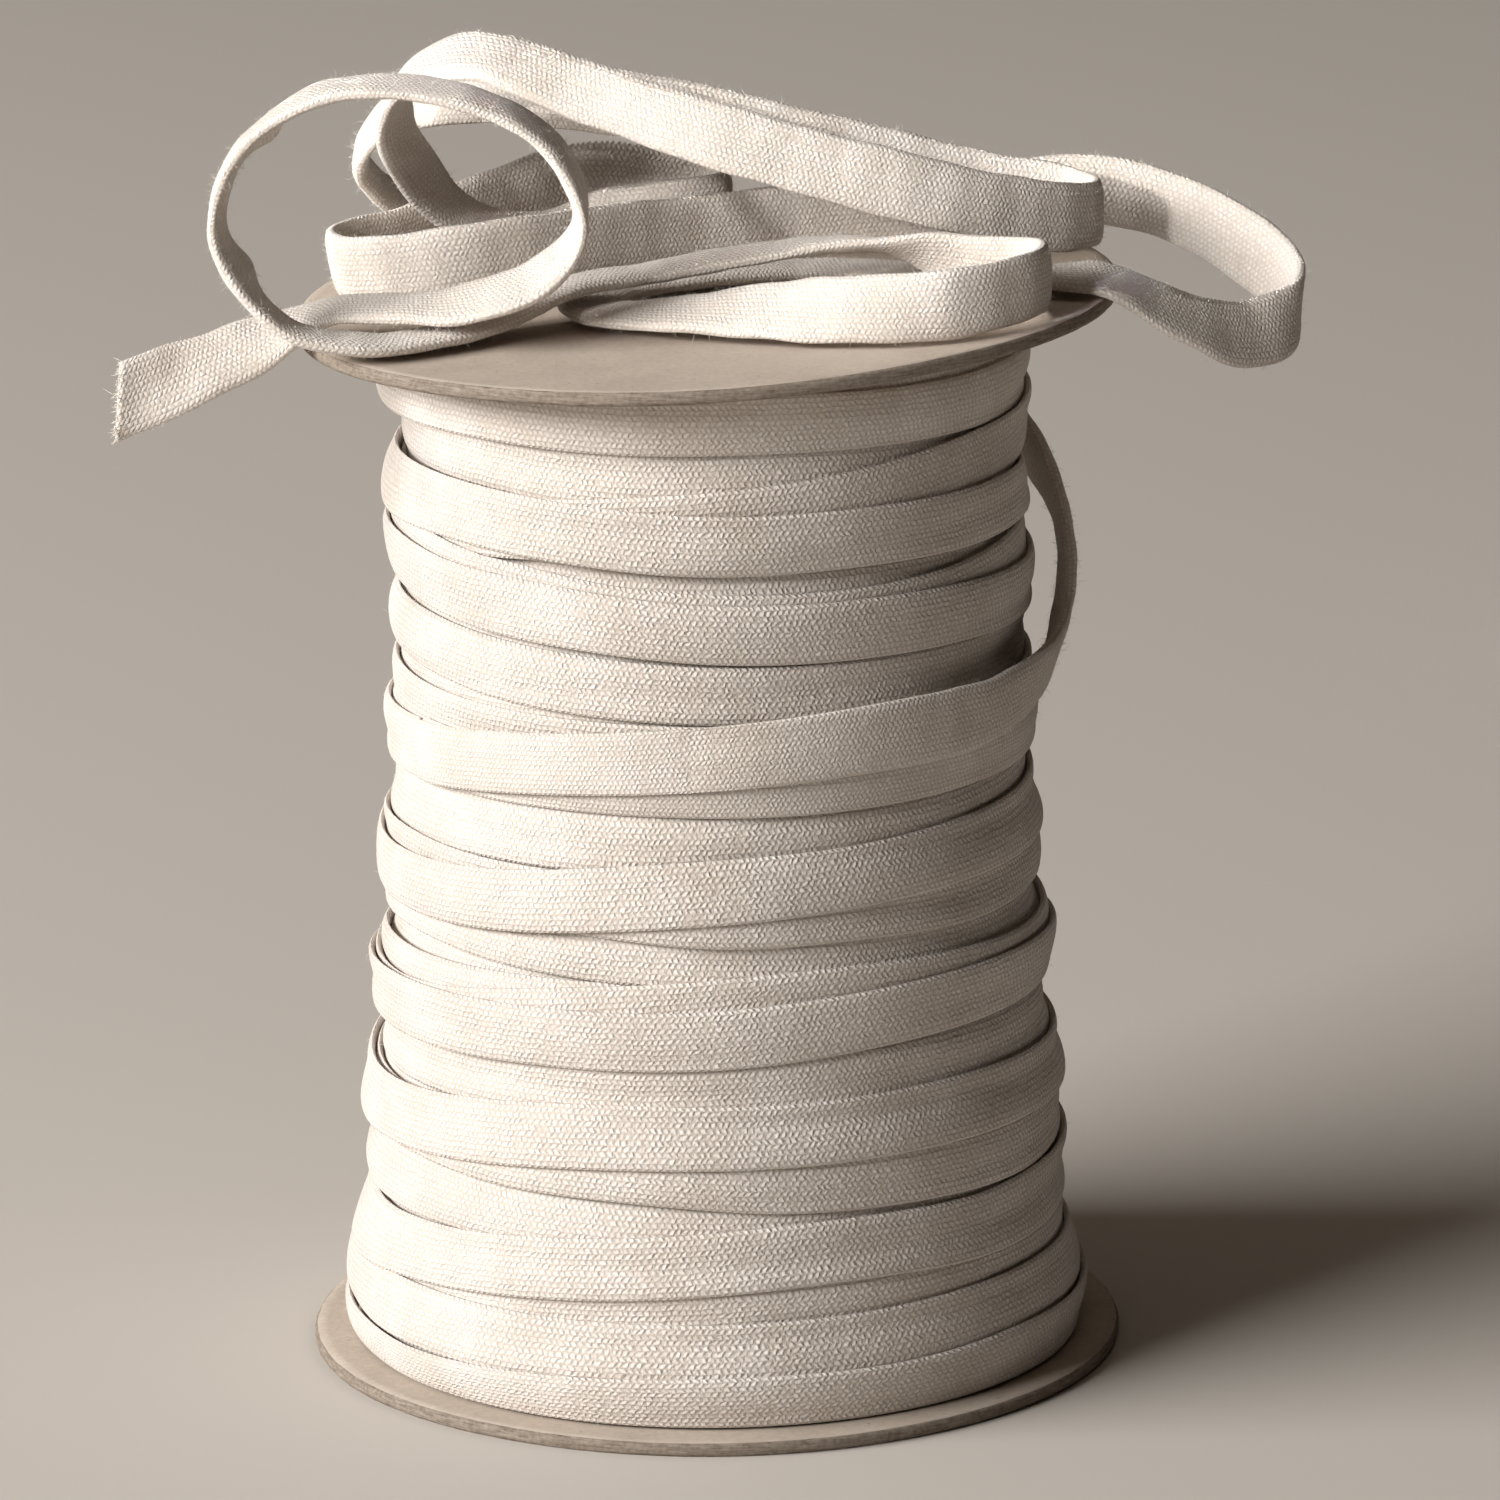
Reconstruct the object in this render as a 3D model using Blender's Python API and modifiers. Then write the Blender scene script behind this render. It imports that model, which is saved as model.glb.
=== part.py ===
"""A roll of flat drawstring cord.

Cotton cord is wound on a spool whose two ends are greyboard discs. The cord's outer end leaves the
winding at the right, goes up behind the spool, lies in a pile of loops on the upper disc and ends
cut off past the left rim. Metres, +Z up, the front of the roll towards -Y. The origin is on the
spool's axis, on the underside of the lower disc.
"""

from collections import namedtuple
from math import atan2, cos, radians, sin, tan

import bmesh
import bpy
import numpy as np

OBJECT_NAME = "drawstring_cord_roll"

# Greyboard discs
DISC_RADIUS = 0.048
BOARD_THICKNESS = 0.0016
BOARD_EDGE = 0.0003
DISC_SEGMENTS = 72
# Height of the upper disc's top on the axis, and how far it rises to the right and to the back
SPOOL_HEIGHT = 0.1263
UPPER_DISC_SLOPE = radians(2.5)
UPPER_DISC_LEAN = radians(0.5)
SEATING_GAP = 0.0003

# Winding. A groove marks each turn edge, the turn on top stands proud by two overlap steps, and
# the shoulder is the share of a band's height over which it rounds off into the groove.
WINDING_COLUMNS = 48
GROOVE_DEPTH = 0.0012
OVERLAP_STEP = 0.0004
SHOULDER = 0.2

# Cord
CORD_WIDTH = 0.008
CORD_THICKNESS = 0.0018
CORD_EDGE = 0.0006
SECTIONS_PER_SPAN = 2

# Edges sharper than these stay crisp in the shading, or are rounded on the cord
CRISP_ANGLE = radians(40.0)
ROUNDED_ANGLE = radians(50.0)

# Outer radius of the winding at a height
Girth = namedtuple("Girth", "height radius")
WINDING_GIRTHS = (
    Girth(0.002, 0.0425),
    Girth(0.008, 0.0432),
    Girth(0.022, 0.0416),
    Girth(0.040, 0.0402),
    Girth(0.060, 0.0387),
    Girth(0.080, 0.0376),
    Girth(0.126, 0.0370),
)

# Height of each visible turn edge at 60 degrees left, front, 60 degrees right and back. over is 1
# where the turn above the edge lies on the one below, and -1 where the turn below lies on top.
TurnEdge = namedtuple("TurnEdge", "left front right back over")
TURN_EDGES = (
    TurnEdge(0.0056, 0.0075, 0.0082, 0.0066, -1),
    TurnEdge(0.0118, 0.0140, 0.0145, 0.0122, -1),
    TurnEdge(0.0142, 0.0182, 0.0182, 0.0158, 1),
    TurnEdge(0.0275, 0.0270, 0.0252, 0.0240, 1),
    TurnEdge(0.0300, 0.0329, 0.0313, 0.0300, 1),
    TurnEdge(0.0381, 0.0394, 0.0394, 0.0368, -1),
    TurnEdge(0.0423, 0.0449, 0.0451, 0.0428, 1),
    TurnEdge(0.0483, 0.0507, 0.0518, 0.0490, -1),
    TurnEdge(0.0515, 0.0542, 0.0545, 0.0522, 1),
    TurnEdge(0.0552, 0.0583, 0.0568, 0.0570, 1),
    TurnEdge(0.0575, 0.0612, 0.0630, 0.0606, 1),
    TurnEdge(0.0658, 0.0680, 0.0693, 0.0662, -1),
    TurnEdge(0.0705, 0.0731, 0.0724, 0.0728, 1),
    TurnEdge(0.0732, 0.0773, 0.0798, 0.0772, 1),
    TurnEdge(0.0850, 0.0839, 0.0856, 0.0846, -1),
    TurnEdge(0.0940, 0.0915, 0.0896, 0.0912, 1),
    TurnEdge(0.0990, 0.0984, 0.0982, 0.0972, -1),
    TurnEdge(0.1034, 0.1019, 0.1017, 0.1026, 1),
    TurnEdge(0.1098, 0.1091, 0.1079, 0.1088, -1),
    TurnEdge(0.1126, 0.1115, 0.1130, 0.1120, -1),
    TurnEdge(0.1168, 0.1153, 0.1162, 0.1170, 1),
)
EDGE_ANGLES = (radians(-60.0), 0.0, radians(60.0), radians(180.0))

# Route of the loose cord's middle line, with the direction across the cord's width
RoutePoint = namedtuple("RoutePoint", "x y z across_x across_y across_z")
LOOSE_ROUTE = tuple(RoutePoint(*row) for row in (
    # slack turn that lifts off the right of the winding
    (0.0216, -0.0325, 0.0819, 0.00, 0.00, 1.0),
    (0.0279, -0.0275, 0.0819, 0.00, 0.00, 1.0),
    (0.0333, -0.0213, 0.0822, 0.10, -0.05, 1.0),
    (0.0392, -0.0095, 0.0840, 0.30, -0.20, 1.0),
    (0.0412, -0.0020, 0.0878, 0.25, -0.60, 0.7),
    (0.0421, 0.0035, 0.0930, 0.10, -0.80, 0.6),
    (0.0412, 0.0095, 0.0990, 0.00, -0.70, 0.7),
    # up behind the spool and over the rear rim
    (0.0380, 0.0185, 0.1040, 0.00, -0.35, 0.9),
    (0.0310, 0.0320, 0.1080, 0.00, 0.00, 1.0),
    (0.0190, 0.0455, 0.1125, 0.00, 0.10, 1.0),
    (0.0030, 0.0535, 0.1183, 0.00, 0.30, 1.0),
    (-0.0120, 0.0530, 0.1250, 0.30, 0.70, 0.9),
    (-0.0245, 0.0440, 0.1296, 0.50, 1.00, 0.1),
    (-0.0360, 0.0335, 0.1308, 0.30, 1.00, 0.0),
    # long arch, rear leg
    (-0.0410, 0.0280, 0.1370, 0.00, 1.00, 0.1),
    (-0.0375, 0.0235, 0.1435, 0.00, 1.00, 0.4),
    (-0.0280, 0.0180, 0.1473, 0.00, 0.60, 1.0),
    (-0.0100, 0.0120, 0.1470, 0.00, 0.40, 1.0),
    (0.0100, 0.0095, 0.1430, 0.00, 0.40, 1.0),
    (0.0330, 0.0115, 0.1368, 0.00, 0.20, 1.0),
    # long arch, bend at the right
    (0.0426, 0.0106, 0.1351, 0.00, 0.10, 1.0),
    (0.0457, 0.0053, 0.1349, 0.00, 0.00, 1.0),
    (0.0418, -0.0010, 0.1355, 0.00, 0.10, 1.0),
    # long arch, front leg, which bows out to the front
    (0.0342, -0.0062, 0.1377, 0.00, 0.25, 1.0),
    (0.0240, -0.0100, 0.1409, 0.00, 0.35, 1.0),
    (0.0130, -0.0108, 0.1440, 0.00, 0.45, 1.0),
    (0.0010, -0.0096, 0.1474, 0.00, 0.60, 1.0),
    (-0.0120, -0.0052, 0.1510, 0.00, 0.80, 0.9),
    # fold at the top left and the way down inside the next loop
    (-0.0270, 0.0000, 0.1550, 0.00, 1.00, 0.6),
    (-0.0348, 0.0040, 0.1515, 0.20, 1.00, 0.3),
    (-0.0363, 0.0090, 0.1450, 0.50, 1.00, 0.1),
    (-0.0337, 0.0135, 0.1385, 0.60, 1.00, 0.1),
    (-0.0285, 0.0170, 0.1325, 0.40, 1.00, 0.2),
    (-0.0195, 0.0200, 0.1296, 0.00, 1.00, 0.5),
    (-0.0100, 0.0230, 0.1310, 0.00, 0.60, 1.0),
    # rear loop
    (-0.0030, 0.0243, 0.1314, 0.00, 0.10, 1.0),
    (0.0020, 0.0275, 0.1316, 0.00, 0.00, 1.0),
    (0.0015, 0.0325, 0.1320, 0.00, 0.00, 1.0),
    (-0.0045, 0.0345, 0.1330, 0.00, 0.00, 1.0),
    (-0.0150, 0.0328, 0.1342, 0.00, 0.00, 1.0),
    (-0.0260, 0.0275, 0.1319, 0.00, 0.00, 1.0),
    # bend at the left of the flange
    (-0.0360, 0.0190, 0.1295, 0.10, 0.00, 1.0),
    (-0.0420, 0.0125, 0.1293, -0.10, 0.00, 1.0),
    (-0.0433, 0.0070, 0.1292, -0.20, -0.05, 1.0),
    (-0.0412, 0.0028, 0.1293, -0.10, -0.05, 1.0),
    # long leg standing across the flange, first forward and then back
    (-0.0355, -0.0004, 0.1302, 0.00, 0.00, 1.0),
    (-0.0290, -0.0018, 0.1313, 0.00, 0.00, 1.0),
    (-0.0215, 0.0004, 0.1320, 0.00, 0.00, 1.0),
    (-0.0135, 0.0060, 0.1318, 0.00, 0.00, 1.0),
    (-0.0030, 0.0132, 0.1315, 0.00, 0.00, 1.0),
    (0.0100, 0.0180, 0.1317, 0.00, 0.00, 1.0),
    (0.0300, 0.0205, 0.1329, 0.00, 0.00, 1.0),
    # loop past the right rim
    (0.0450, 0.0205, 0.1346, 0.00, 0.10, 1.0),
    (0.0580, 0.0170, 0.1316, 0.20, 0.20, 1.0),
    (0.0675, 0.0105, 0.1258, 0.20, 0.20, 1.0),
    (0.0685, 0.0035, 0.1228, 0.10, 0.30, 1.0),
    (0.0620, -0.0040, 0.1220, 0.00, 0.70, 1.0),
    (0.0545, -0.0095, 0.1256, 0.00, 1.00, 0.7),
    (0.0460, -0.0110, 0.1302, 0.10, 1.00, 0.2),
    (0.0365, -0.0060, 0.1296, 0.30, 1.00, 0.0),
    # flat stretch and the turn at its left end
    (0.0220, 0.0010, 0.1289, 0.35, 1.00, 0.0),
    (0.0090, 0.0050, 0.1283, 0.20, 1.00, 0.0),
    (-0.0030, 0.0026, 0.1278, -0.20, 1.00, 0.0),
    (-0.0106, -0.0012, 0.1274, -0.80, 0.60, 0.0),
    (-0.0134, -0.0080, 0.1272, -1.00, 0.00, 0.0),
    (-0.0108, -0.0146, 0.1275, -0.80, -0.60, -0.1),
    (-0.0035, -0.0202, 0.1287, -0.50, -0.85, -0.3),
    # front right loop
    (0.0060, -0.0255, 0.1301, -0.25, -0.75, -0.6),
    (0.0165, -0.0310, 0.1313, -0.05, -0.40, -0.9),
    (0.0280, -0.0322, 0.1321, 0.00, 0.00, -1.0),
    (0.0372, -0.0252, 0.1328, 0.00, 0.00, -1.0),
    (0.0380, -0.0178, 0.1325, 0.00, 0.00, -1.0),
    (0.0312, -0.0127, 0.1323, 0.00, 0.30, -1.0),
    # sloping down edge-on to the left, over the turn
    (0.0185, -0.0082, 0.1342, 0.00, 1.00, -0.2),
    (0.0050, -0.0078, 0.1328, 0.00, 1.00, 0.0),
    (-0.0070, -0.0085, 0.1309, 0.00, 1.00, 0.0),
    (-0.0150, -0.0108, 0.1301, 0.00, 1.00, 0.0),
    (-0.0225, -0.0150, 0.1275, 0.00, 1.00, 0.0),
    # round ring standing at the left
    (-0.0300, -0.0205, 0.1265, 0.00, 1.00, 0.0),
    (-0.0390, -0.0242, 0.1263, 0.00, 1.00, 0.0),
    (-0.0485, -0.0238, 0.1285, 0.00, 1.00, 0.0),
    (-0.0558, -0.0195, 0.1380, 0.10, 1.00, 0.0),
    (-0.0532, -0.0180, 0.1475, 0.10, 1.00, 0.0),
    (-0.0430, -0.0180, 0.1545, 0.05, 1.00, 0.1),
    (-0.0290, -0.0180, 0.1540, 0.00, 1.00, 0.1),
    (-0.0180, -0.0185, 0.1485, 0.10, 1.00, 0.1),
    (-0.0143, -0.0205, 0.1400, 0.00, 1.00, 0.1),
    (-0.0188, -0.0228, 0.1338, -0.30, 1.00, 0.3),
    (-0.0262, -0.0225, 0.1309, -0.30, 1.00, 0.3),
    # over the ring's own foot and out over the left rim to the cut end
    (-0.0340, -0.0188, 0.1293, -0.05, 1.00, 0.1),
    (-0.0435, -0.0138, 0.1278, 0.00, 1.00, 0.1),
    (-0.0560, -0.0175, 0.1230, 0.10, 0.70, 0.9),
    (-0.0678, -0.0200, 0.1188, 0.20, 0.15, 1.0),
))

# Linear colours
BOARD_GREY = (0.46, 0.40, 0.33, 1.0)
COTTON_WOUND = (0.76, 0.69, 0.58, 1.0)
COTTON_LOOSE = (0.80, 0.73, 0.62, 1.0)


def clear_scene():
    for old in list(bpy.data.objects):
        bpy.data.objects.remove(old, do_unlink=True)


def make_material(name, colour, roughness):
    material = bpy.data.materials.new(name)
    material.use_nodes = True
    shader = material.node_tree.nodes["Principled BSDF"]
    shader.inputs["Base Color"].default_value = colour
    shader.inputs["Roughness"].default_value = roughness
    shader.inputs["Metallic"].default_value = 0.0
    material.diffuse_color = colour
    return material


def add_part(name, bm, material, collection):
    """Turns a bmesh into a named object with its material."""
    bmesh.ops.recalc_face_normals(bm, faces=bm.faces[:])
    mesh = bpy.data.meshes.new(name)
    bm.to_mesh(mesh)
    bm.free()
    mesh.materials.append(material)
    mesh.shade_smooth()
    mesh.set_sharp_from_angle(angle=CRISP_ANGLE)
    part = bpy.data.objects.new(name, mesh)
    collection.objects.link(part)
    return part


def make_disc(name, middle_height, slope, lean, material, collection):
    """A board disc whose cut edge is a little rounded."""
    bm = bmesh.new()
    bmesh.ops.create_cone(bm, cap_ends=True, segments=DISC_SEGMENTS,
                          radius1=DISC_RADIUS, radius2=DISC_RADIUS, depth=BOARD_THICKNESS)
    rims = [edge for edge in bm.edges if edge.verts[0].co.z * edge.verts[1].co.z > 0.0]
    bmesh.ops.bevel(bm, geom=rims, offset=BOARD_EDGE, affect="EDGES",
                    segments=1, profile=0.5, material=-1)
    disc = add_part(name, bm, material, collection)
    disc.location = (0.0, 0.0, middle_height)
    disc.rotation_euler = (lean, -slope, 0.0)
    return disc


def winding_radius(height):
    heights = [girth.height for girth in WINDING_GIRTHS]
    radii = [girth.radius for girth in WINDING_GIRTHS]
    return float(np.interp(height, heights, radii))


def edge_waves(angle):
    """A level, two slopes and a sag, which together carry a turn edge round the winding."""
    return np.array([1.0, cos(angle), sin(angle), cos(2.0 * angle)])


def edge_line(edge):
    """Height of a turn edge all round, through its four stated heights."""
    waves = np.array([edge_waves(angle) for angle in EDGE_ANGLES])
    sizes = np.linalg.solve(waves, np.array([edge.left, edge.front, edge.right, edge.back]))
    return lambda angle: float(sizes @ edge_waves(angle))


def bottom_line(angle):
    """Where the winding stands on the lower disc, the same all round."""
    return BOARD_THICKNESS + SEATING_GAP


def top_line(angle):
    """Where the winding meets the tilted upper disc."""
    reach = winding_radius(SPOOL_HEIGHT)
    rise = reach * sin(angle) * tan(UPPER_DISC_SLOPE) - reach * cos(angle) * tan(UPPER_DISC_LEAN)
    return SPOOL_HEIGHT - BOARD_THICKNESS - SEATING_GAP + rise


def between(low, high, share):
    return lambda angle: (1.0 - share) * low(angle) + share * high(angle)


def winding_rings():
    """Rings of the winding from bottom to top, each a height line and a change of radius."""
    lines = [bottom_line] + [edge_line(edge) for edge in TURN_EDGES] + [top_line]
    overs = [0] + [edge.over for edge in TURN_EDGES] + [0]
    rings = [(lines[0], -GROOVE_DEPTH)]
    for band in range(len(lines) - 1):
        low, high = lines[band:band + 2]
        foot = (overs[band] - 1) * OVERLAP_STEP
        head = (-overs[band + 1] - 1) * OVERLAP_STEP
        rings.append((between(low, high, SHOULDER), foot))
        rings.append((between(low, high, 1.0 - SHOULDER), head))
        rings.append((high, -GROOVE_DEPTH))
    return rings


def place_ring(verts, line, change):
    for vert in verts:
        angle = atan2(vert.co.x, -vert.co.y)
        height = line(angle)
        radius = winding_radius(height) + change
        vert.co = (radius * sin(angle), -radius * cos(angle), height)


def make_winding(material, collection):
    """The wound form, one closed solid with a groove along each visible turn edge."""
    bm = bmesh.new()
    rings = winding_rings()
    verts = bmesh.ops.create_circle(bm, segments=WINDING_COLUMNS, radius=1.0, cap_ends=True)["verts"]
    edges = bm.edges[:]
    place_ring(verts, *rings[0])
    for line, change in rings[1:]:
        grown = bmesh.ops.extrude_edge_only(bm, edges=edges)["geom"]
        edges = [item for item in grown if isinstance(item, bmesh.types.BMEdge)]
        verts = [item for item in grown if isinstance(item, bmesh.types.BMVert)]
        place_ring(verts, line, change)
    bmesh.ops.contextual_create(bm, geom=edges)
    return add_part("wound_cord", bm, material, collection)


def smooth_route(rows, per_span):
    """Points and across directions on a centripetal Catmull-Rom curve through the route's rows."""
    points = np.array([[row.x, row.y, row.z] for row in rows])
    across = np.array([[row.across_x, row.across_y, row.across_z] for row in rows])
    across /= np.linalg.norm(across, axis=1)[:, None]
    ends = np.vstack([2.0 * points[0] - points[1], points, 2.0 * points[-1] - points[-2]])
    steps = np.linalg.norm(np.diff(ends, axis=0), axis=1) ** 0.5
    knots = np.concatenate([[0.0], np.cumsum(steps)])

    def blend(a, b, start, end, at):
        return a * (end - at) / (end - start) + b * (at - start) / (end - start)

    middle, sides = [], []
    for span in range(len(points) - 1):
        p0, p1, p2, p3 = ends[span:span + 4]
        t0, t1, t2, t3 = knots[span:span + 4]
        last = span == len(points) - 2
        for step in range(per_span + int(last)):
            share = step / per_span
            at = t1 + (t2 - t1) * share
            a1 = blend(p0, p1, t0, t1, at)
            a2 = blend(p1, p2, t1, t2, at)
            a3 = blend(p2, p3, t2, t3, at)
            b1 = blend(a1, a2, t0, t2, at)
            b2 = blend(a2, a3, t1, t3, at)
            middle.append(blend(b1, b2, t1, t2, at))
            ease = share * share * (3.0 - 2.0 * share)
            sides.append(across[span] * (1.0 - ease) + across[span + 1] * ease)
    return np.array(middle), np.array(sides)


def square_to_route(middle, sides):
    """Makes each across direction square to the route there."""
    along = np.gradient(middle, axis=0)
    along /= np.linalg.norm(along, axis=1)[:, None]
    sides = sides - np.sum(sides * along, axis=1)[:, None] * along
    return sides / np.linalg.norm(sides, axis=1)[:, None]


def make_loose_cord(material, collection):
    """A strip laid along the route, which modifiers give its thickness and its rounded edges."""
    middle, sides = smooth_route(LOOSE_ROUTE, SECTIONS_PER_SPAN)
    sides = square_to_route(middle, sides) * CORD_WIDTH / 2.0
    bm = bmesh.new()
    cells = len(middle) - 1
    for vert in bmesh.ops.create_grid(bm, x_segments=1, y_segments=cells, size=1.0)["verts"]:
        section = round((vert.co.y + 1.0) / 2.0 * cells)
        vert.co = middle[section] + sides[section] * vert.co.x
    cord = add_part("loose_cord", bm, material, collection)
    wall = cord.modifiers.new("thickness", "SOLIDIFY")
    wall.thickness = CORD_THICKNESS
    wall.offset = 0.0
    rounding = cord.modifiers.new("rounded edges", "BEVEL")
    rounding.width = CORD_EDGE
    rounding.segments = 1
    rounding.limit_method = "ANGLE"
    rounding.angle_limit = ROUNDED_ANGLE
    return cord


def build():
    clear_scene()
    collection = bpy.data.collections.new(OBJECT_NAME)
    bpy.context.scene.collection.children.link(collection)
    board = make_material("greyboard", BOARD_GREY, 0.9)
    wound = make_material("wound_cotton", COTTON_WOUND, 0.95)
    loose = make_material("loose_cotton", COTTON_LOOSE, 0.95)
    make_disc("lower_flange", BOARD_THICKNESS / 2.0, 0.0, 0.0, board, collection)
    make_disc("upper_flange", SPOOL_HEIGHT - BOARD_THICKNESS / 2.0, UPPER_DISC_SLOPE, UPPER_DISC_LEAN,
              board, collection)
    make_winding(wound, collection)
    make_loose_cord(loose, collection)


build()
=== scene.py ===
"""Looks of the roll of flat drawstring cord: turns of braided cotton on a greyboard spool."""

from collections import namedtuple
from functools import partial
from math import atan2, cos, pi, radians, sin, tan

import bmesh
import bpy
import numpy as np
from mathutils import Matrix, Vector


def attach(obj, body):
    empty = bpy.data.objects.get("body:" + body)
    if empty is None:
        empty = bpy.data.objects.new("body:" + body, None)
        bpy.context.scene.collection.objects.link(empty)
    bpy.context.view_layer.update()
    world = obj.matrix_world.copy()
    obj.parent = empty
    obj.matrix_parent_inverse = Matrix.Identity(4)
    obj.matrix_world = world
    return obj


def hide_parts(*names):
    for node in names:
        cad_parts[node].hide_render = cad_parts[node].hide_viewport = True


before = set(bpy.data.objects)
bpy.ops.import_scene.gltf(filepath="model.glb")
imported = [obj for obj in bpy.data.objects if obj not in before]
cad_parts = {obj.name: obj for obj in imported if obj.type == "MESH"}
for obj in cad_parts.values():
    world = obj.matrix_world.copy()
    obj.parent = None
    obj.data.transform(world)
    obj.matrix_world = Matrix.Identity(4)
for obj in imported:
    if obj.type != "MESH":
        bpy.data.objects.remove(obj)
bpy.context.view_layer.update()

MM = 0.001

# Camera, matched to the photograph's view of the spool
CAMERA_PLACE = (0.0, -1.11147, 0.36605)
CAMERA_YAW = 0.00411
CAMERA_PITCH = 0.25902
CAMERA_ROLL = -0.0086
CAMERA_SENSOR_MM = 36.0
CAMERA_LENS_MM = 233.8

# Spool
DISC_RADIUS = 48.0 * MM
BOARD_THICKNESS = 1.6 * MM
SPOOL_HEIGHT = 126.3 * MM
UPPER_DISC_SLOPE = radians(2.5)
UPPER_DISC_LEAN = radians(0.5)
SEATING_GAP = 0.3 * MM

# Cord, full size where it lies loose and narrower where it is wound under tension
CORD_WIDTH = 8.0 * MM
CORD_THICKNESS = 1.8 * MM
WOUND_WIDTH = 7.2 * MM
WOUND_THICKNESS = 1.55 * MM
CUT_SLANT = 2.0 * MM

# Braid: rows round the whole cord, length of a stitch and depth of the hollows. Rows and stitches
# are a little coarser than real ones, so that they show in the render.
WOUND_ROWS = 24
WOUND_STITCH = 0.78 * MM
WOUND_RELIEF = 0.32 * MM
LOOSE_ROWS = 28
LOOSE_STITCH = 0.64 * MM
SLACK_RELIEF = 0.23 * MM

# Regular turns under the uneven ones: their number, the lowest one's height and their pitch in mm,
# and how far each is off level at 60 degrees left, front, 60 degrees right and back
UNDER_TURNS = 18
BOTTOM_TURN = 5.6
UNDER_PITCH = 6.7
UNDER_TILTS = (-0.4, 0.3, 0.5, -0.3)

# Fluff: fibres that stand off the braid, and yarns at the cut end. Their lengths are spread from a
# shortest one by a gamma law of a shape and scale. Each tapers and bends by a share of its size.
Fluff = namedtuple("Fluff", "radius shortest shape scale lean")
FIBRES = Fluff(0.021 * MM, 0.15 * MM, 3.0, 0.16 * MM, 0.8)
YARNS = Fluff(0.07 * MM, 0.5 * MM, 4.0, 0.14 * MM, 0.35)
FIBRE_SPOTS = 90000
FIBRE_DEPTH = 0.25 * MM
WINDING_FIBRES = 21500
LOOSE_FIBRES = 20000
CUT_YARNS = 90
YARN_ROOT_DEPTH = 0.5 * MM
FIBRE_TAPER = 0.8
FIBRE_BEND = 0.35

# Outer radius of the winding at a height, in metres
Girth = namedtuple("Girth", "height radius")
WINDING_GIRTHS = (
    Girth(0.0020, 0.0425),
    Girth(0.0080, 0.0432),
    Girth(0.0220, 0.0416),
    Girth(0.0400, 0.0402),
    Girth(0.0600, 0.0387),
    Girth(0.0800, 0.0376),
    Girth(0.1260, 0.0370),
)

# Height in mm of each turn's middle at 60 degrees left, front, 60 degrees right and back, in the
# order in which the turns were wound, the deepest first
Turn = namedtuple("Turn", "left front right back")
FIRST_TURNS = (
    Turn(5.5, 6.0, 6.5, 5.8),
    Turn(13.0, 16.0, 16.5, 13.8),
    Turn(24.6, 24.5, 24.0, 21.6),
    Turn(32.8, 32.6, 31.8, 29.5),
    Turn(40.3, 41.5, 42.0, 37.2),
    Turn(49.0, 49.8, 49.4, 45.0),
    Turn(58.0, 56.5, 55.5, 52.9),
    Turn(64.0, 63.2, 62.6, 60.4),
    Turn(69.5, 70.3, 70.8, 68.0),
    Turn(76.8, 77.6, 77.8, 75.6),
    Turn(84.4, 84.9, 84.6, 83.2),
    Turn(91.5, 92.0, 92.0, 90.8),
    Turn(99.0, 98.6, 98.2, 98.5),
    Turn(105.8, 105.4, 105.0, 106.2),
    Turn(113.0, 112.5, 112.0, 113.6),
    Turn(119.0, 120.6, 122.2, 120.8),
)
MIDDLE_TURNS = (
    Turn(89.4, 87.6, 86.8, 87.2),
    Turn(119.2, 119.3, 118.4, 118.0),
    Turn(105.0, 107.8, 111.2, 109.6),
    Turn(99.5, 95.9, 96.5, 101.0),
    Turn(81.0, 80.4, 80.9, 79.6),
    Turn(63.0, 61.8, 60.7, 59.4),
    Turn(46.2, 50.6, 50.8, 51.6),
    Turn(32.1, 30.8, 28.9, 33.0),
    Turn(9.6, 10.6, 10.9, 11.4),
    Turn(2.6, 4.3, 4.6, 4.4),
)
LAST_TURNS = (
    Turn(106.6, 105.4, 104.9, 103.2),
    Turn(97.4, 95.0, 93.7, 94.2),
    Turn(60.8, 64.6, 66.3, 66.8),
    Turn(45.9, 47.8, 48.8, 44.8),
    Turn(33.2, 36.1, 35.6, 37.4),
    Turn(17.2, 21.2, 21.6, 24.4),
)
TURN_ANGLES = (radians(-60.0), 0.0, radians(60.0), radians(180.0))

# The slack turn: degrees round from the front, height of its middle in mm. It starts under itself.
SlackPoint = namedtuple("SlackPoint", "angle height")
SLACK_TURN = (
    SlackPoint(-425.0, 76.8),
    SlackPoint(-360.0, 76.9),
    SlackPoint(-300.0, 76.6),
    SlackPoint(-240.0, 75.2),
    SlackPoint(-180.0, 74.4),
    SlackPoint(-120.0, 74.8),
    SlackPoint(-60.0, 76.6),
    SlackPoint(-30.0, 78.9),
    SlackPoint(0.0, 80.6),
    SlackPoint(33.6, 81.9),
)

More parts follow.
